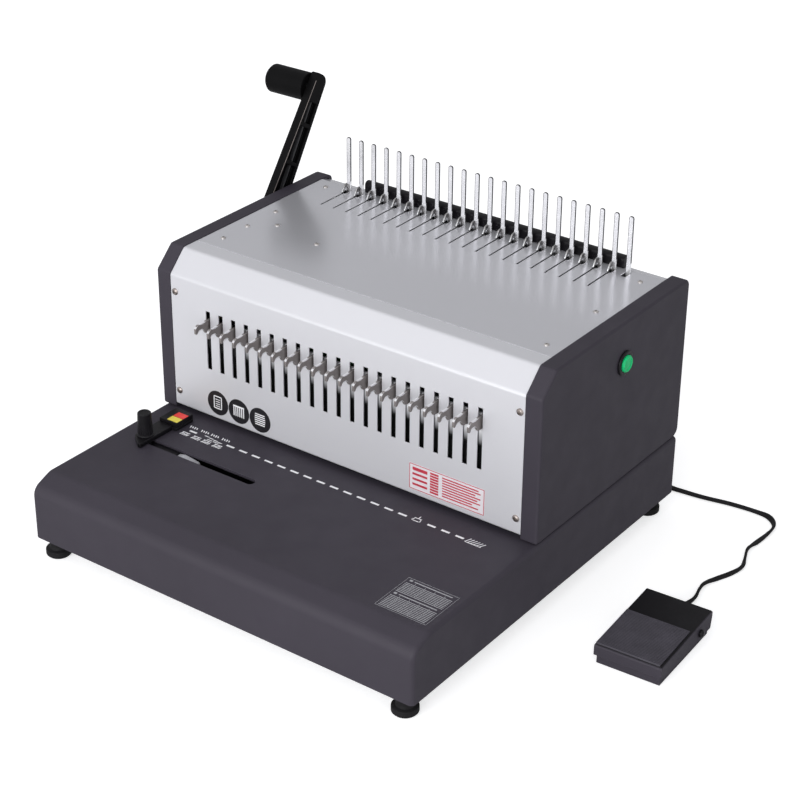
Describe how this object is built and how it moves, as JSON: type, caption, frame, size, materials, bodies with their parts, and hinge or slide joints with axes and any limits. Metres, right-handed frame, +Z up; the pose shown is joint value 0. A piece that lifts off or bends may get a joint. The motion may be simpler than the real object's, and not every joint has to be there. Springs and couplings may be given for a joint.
{
  "type": "comb binding machine",
  "caption": "Desktop electric punch and comb opener with a lever, tines, hooks and a corded foot pedal, for binding loose sheets with plastic combs.",
  "frame": {"origin": "middle of the footprint of the machine, its lever, its cable and its pedal together, at table height", "axes": "+X along the hole row to the operator's right, +Y from the operator towards the back, +Z up from the table"},
  "size_m": [0.5834, 0.438, 0.3219],
  "materials": {
    "powder_coat": "fine matte charcoal powder coat",
    "silver_paint": "satin silver enamel",
    "steel": "plain machined steel",
    "bright_steel": "polished plating",
    "gear_brass": "machined brass",
    "black_plastic": "black moulded plastic",
    "white_plastic": "light grey moulded plastic",
    "green_plastic": "glossy green",
    "rubber": "black rubber",
    "circuit": "green board laminate"
  },
  "bodies": {
    "machine": {"base_shell": "powder_coat", "base_bottom_plate": "steel", "foot_front_left": "rubber", "foot_front_right": "rubber", "foot_rear_left": "rubber", "foot_rear_right": "rubber", "front_cover": "silver_paint", "top_cover": "silver_paint", "rear_cover": "powder_coat", "end_cap_left": "powder_coat", "end_cap_right": "powder_coat", "panel_screw_lower_left": "bright_steel", "panel_screw_upper_left": "bright_steel", "panel_screw_lower_right": "bright_steel", "panel_screw_upper_right": "bright_steel", "side_frame_left": "steel", "side_frame_right": "steel", "die_plate": "steel", "punch_guide_plate": "steel", "gear_motor": "steel", "motor_bracket": "steel", "control_board": "circuit", "tine_comb": "bright_steel", "comb_rest_bar": "black_plastic", "start_button_bezel": "black_plastic", "start_switch": "black_plastic", "power_inlet": "black_plastic", "pedal_socket": "black_plastic", "pedal_cable": "rubber", "pedal_base": "powder_coat", "pedal_pivot_pin": "black_plastic", "pedal_switch": "black_plastic", "pedal_spring": "bright_steel", "ram_spring_left": "bright_steel", "ram_spring_right": "bright_steel"},
    "cam_drive": {"cam_shaft": "steel", "cam_left": "steel", "cam_right": "steel", "cam_gear": "gear_brass"},
    "motor_output": {"motor_pinion": "steel"},
    "ram": {"punch_ram": "steel"},
    "opener_lever": {"handle_arm": "black_plastic", "handle_grip": "black_plastic", "handle_screw": "bright_steel", "opener_shaft": "steel", "opener_pinion_left": "gear_brass", "opener_pinion_right": "gear_brass"},
    "idler": {"idler_shaft": "steel", "idler_pinion_left": "gear_brass", "idler_pinion_right": "gear_brass"},
    "top_hooks": {"top_hook_carriage": "bright_steel"},
    "front_hooks": {"front_hook_carriage": "steel"},
    "edge_guide": {"edge_guide_carrier": "black_plastic", "edge_guide_stop": "black_plastic", "edge_guide_clip": "white_plastic"},
    "guide_knob": {"edge_guide_knob": "black_plastic"},
    "drawer": {"chip_drawer": "black_plastic"},
    "button": {"start_button": "green_plastic"},
    "treadle": {"pedal_treadle": "powder_coat", "pedal_pad": "rubber"}
  },
  "joints": [
    {"name": "handle_swing", "type": "hinge", "parent": "machine", "child": "opener_lever", "pos_m": [-0.24238, 0.09599, 0.172], "axis": [1, 0, 0], "range_deg": [0, 90]},
    {"name": "top_hook_slide", "type": "slide", "parent": "machine", "child": "top_hooks", "axis": [0, 1, 0], "range_m": [-0.0331, 0]},
    {"name": "idler_spin", "type": "hinge", "parent": "machine", "child": "idler", "pos_m": [-0.03638, -0.00101, 0.172], "axis": [1, 0, 0], "range_deg": [0, 90]},
    {"name": "front_hook_slide", "type": "slide", "parent": "machine", "child": "front_hooks", "axis": [0, 0, 1], "range_m": [-0.0331, 0]},
    {"name": "cam_turn", "type": "hinge", "parent": "machine", "child": "cam_drive", "pos_m": [-0.03638, -0.01401, 0.1353], "axis": [-1, 0, 0], "range_deg": [0, 165.5]},
    {"name": "motor_spin", "type": "hinge", "parent": "machine", "child": "motor_output", "pos_m": [0.06362, 0.01459, 0.1353], "axis": [-1, 0, 0], "range_deg": [-228, 0]},
    {"name": "punch_stroke", "type": "slide", "parent": "machine", "child": "ram", "axis": [0, 0, -1], "range_m": [0, 0.01], "stiffness_N_per_m": 1200, "springref_m": -0.012, "deforming": ["ram_spring_left", "ram_spring_right"]},
    {"name": "edge_guide_slide", "type": "slide", "parent": "machine", "child": "edge_guide", "axis": [1, 0, 0], "range_m": [0, 0.105]},
    {"name": "guide_knob_turn", "type": "hinge", "parent": "edge_guide", "child": "guide_knob", "pos_m": [-0.20388, -0.11001, 0.09], "axis": [0, 0, 1], "range_deg": [-180, 180]},
    {"name": "drawer_slide", "type": "slide", "parent": "machine", "child": "drawer", "axis": [-1, 0, 0], "range_m": [0, 0.3]},
    {"name": "button_press", "type": "slide", "parent": "machine", "child": "button", "axis": [-1, 0, 0], "range_m": [0, 0.003], "stiffness_N_per_m": 300, "springref_m": -0.001},
    {"name": "pedal_press", "type": "hinge", "parent": "machine", "child": "treadle", "pos_m": [0.25775, 0.00396, 0.0125], "axis": [0.9986, 0.0523, 0], "range_deg": [0, 4.5], "stiffness_Nm_per_rad": 0.3, "springref_deg": -8.59, "deforming": ["pedal_spring"]}
  ],
  "couplings": [
    {"joint": "top_hook_slide", "follows": "handle_swing", "m_per_rad": -0.021},
    {"joint": "idler_spin", "follows": "handle_swing", "ratio": 1},
    {"joint": "front_hook_slide", "follows": "handle_swing", "m_per_rad": -0.021},
    {"joint": "cam_turn", "follows": "punch_stroke", "rad_per_m": 287.98},
    {"joint": "motor_spin", "follows": "punch_stroke", "rad_per_m": -395.97}
  ]
}
